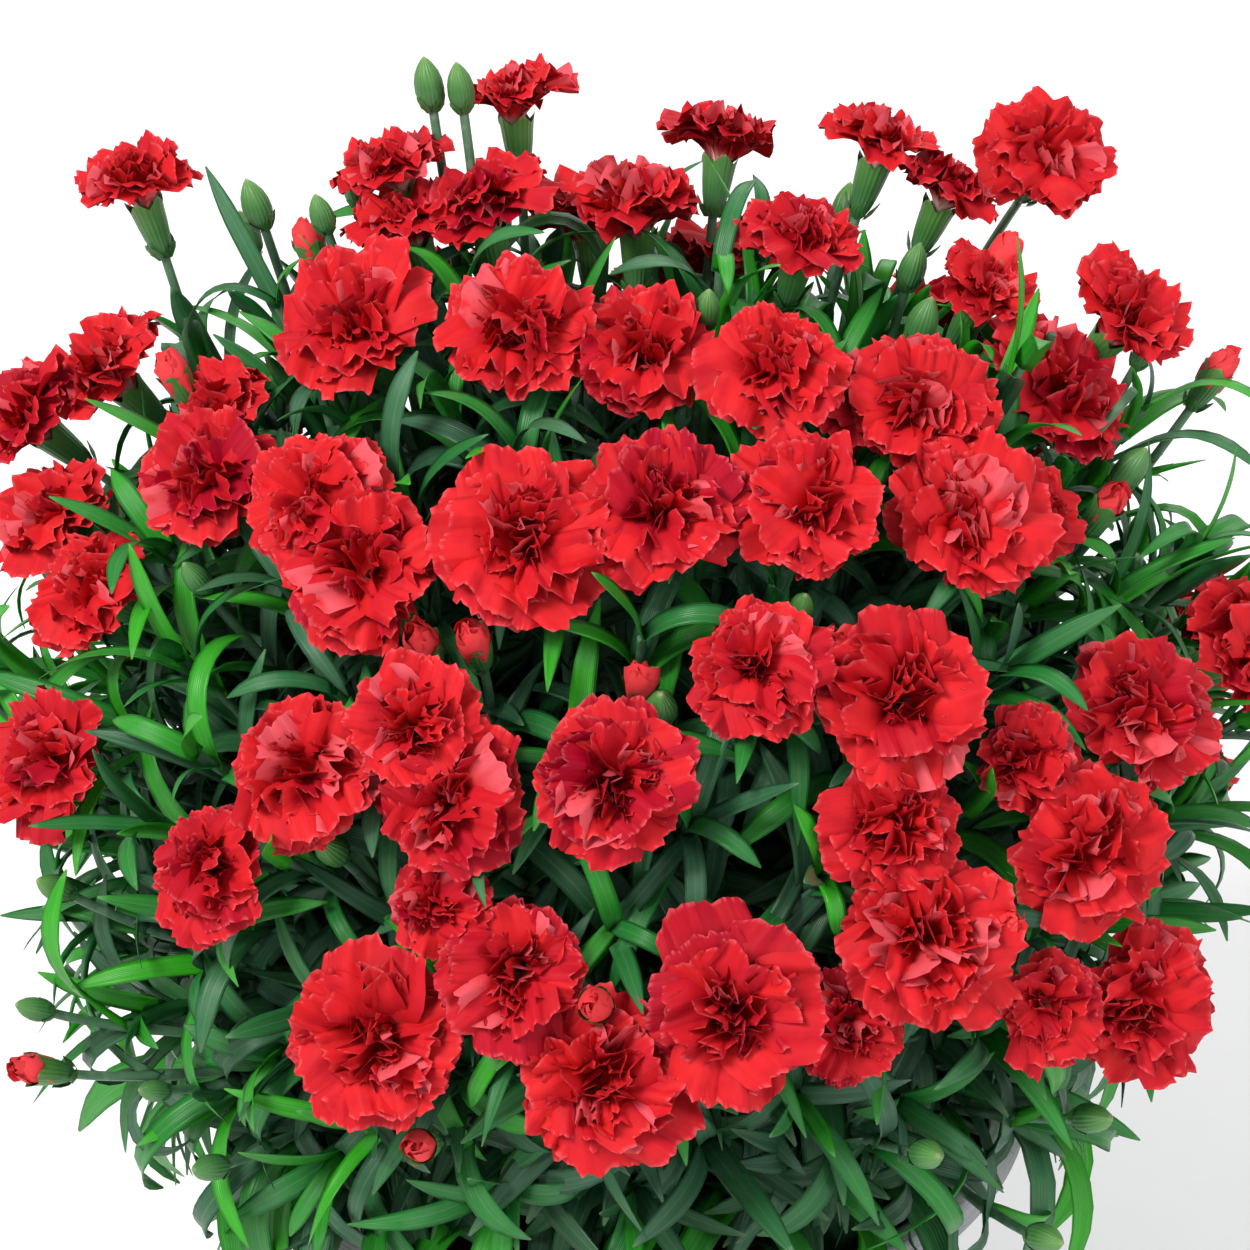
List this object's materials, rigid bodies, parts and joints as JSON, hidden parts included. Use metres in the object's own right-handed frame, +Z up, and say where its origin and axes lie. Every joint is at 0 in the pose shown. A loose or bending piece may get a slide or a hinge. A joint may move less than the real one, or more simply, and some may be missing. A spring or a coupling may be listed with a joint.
{
  "type": "potted carnation",
  "caption": "Double-flowered carnation growing as a dense dome of ruffled blooms over narrow leaves, in a round tapered pot.",
  "frame": {"origin": "centre of the pot's flat base, on the surface that it stands on", "axes": "+Z up along the pot's axis; the plant's pictured front faces -Y; +X is to the right of someone who looks at the front"},
  "size_m": [0.3259, 0.3111, 0.3905],
  "materials": {
    "petal_red": "matte",
    "stem_green": "satin",
    "leaf_green": "satin",
    "pot_grey": "matte",
    "potting_soil": "matte"
  },
  "bodies": {
    "root": {"bloom_01": "petal_red", "bloom_02": "petal_red", "bloom_03": "petal_red", "bloom_04": "petal_red", "bloom_05": "petal_red", "bloom_06": "petal_red", "bloom_07": "petal_red", "bloom_08": "petal_red", "bloom_09": "petal_red", "bloom_10": "petal_red", "bloom_11": "petal_red", "bloom_12": "petal_red", "bloom_13": "petal_red", "bloom_14": "petal_red", "bloom_15": "petal_red", "bloom_16": "petal_red", "bloom_17": "petal_red", "bloom_18": "petal_red", "bloom_19": "petal_red", "bloom_20": "petal_red", "bloom_21": "petal_red", "bloom_22": "petal_red", "bloom_23": "petal_red", "bloom_24": "petal_red", "bloom_25": "petal_red", "bloom_26": "petal_red", "bloom_27": "petal_red", "bloom_28": "petal_red", "bloom_29": "petal_red", "bloom_30": "petal_red", "bloom_31": "petal_red", "bloom_32": "petal_red", "bloom_33": "petal_red", "bloom_34": "petal_red", "bloom_35": "petal_red", "bloom_36": "petal_red", "bloom_37": "petal_red", "bloom_38": "petal_red", "bloom_39": "petal_red", "bloom_40": "petal_red", "bloom_41": "petal_red", "bloom_42": "petal_red", "bloom_43": "petal_red", "bloom_44": "petal_red", "bloom_45": "petal_red", "bloom_46": "petal_red", "bloom_47": "petal_red", "bloom_48": "petal_red", "bloom_49": "petal_red", "bloom_50": "petal_red", "pot": "pot_grey", "shoot_back": "stem_green", "shoot_back_left": "stem_green", "shoot_back_right": "stem_green", "shoot_front": "stem_green", "shoot_front_left": "stem_green", "shoot_front_right": "stem_green", "shoot_left": "stem_green", "shoot_right": "stem_green", "soil": "potting_soil"}
  },
  "joints": []
}
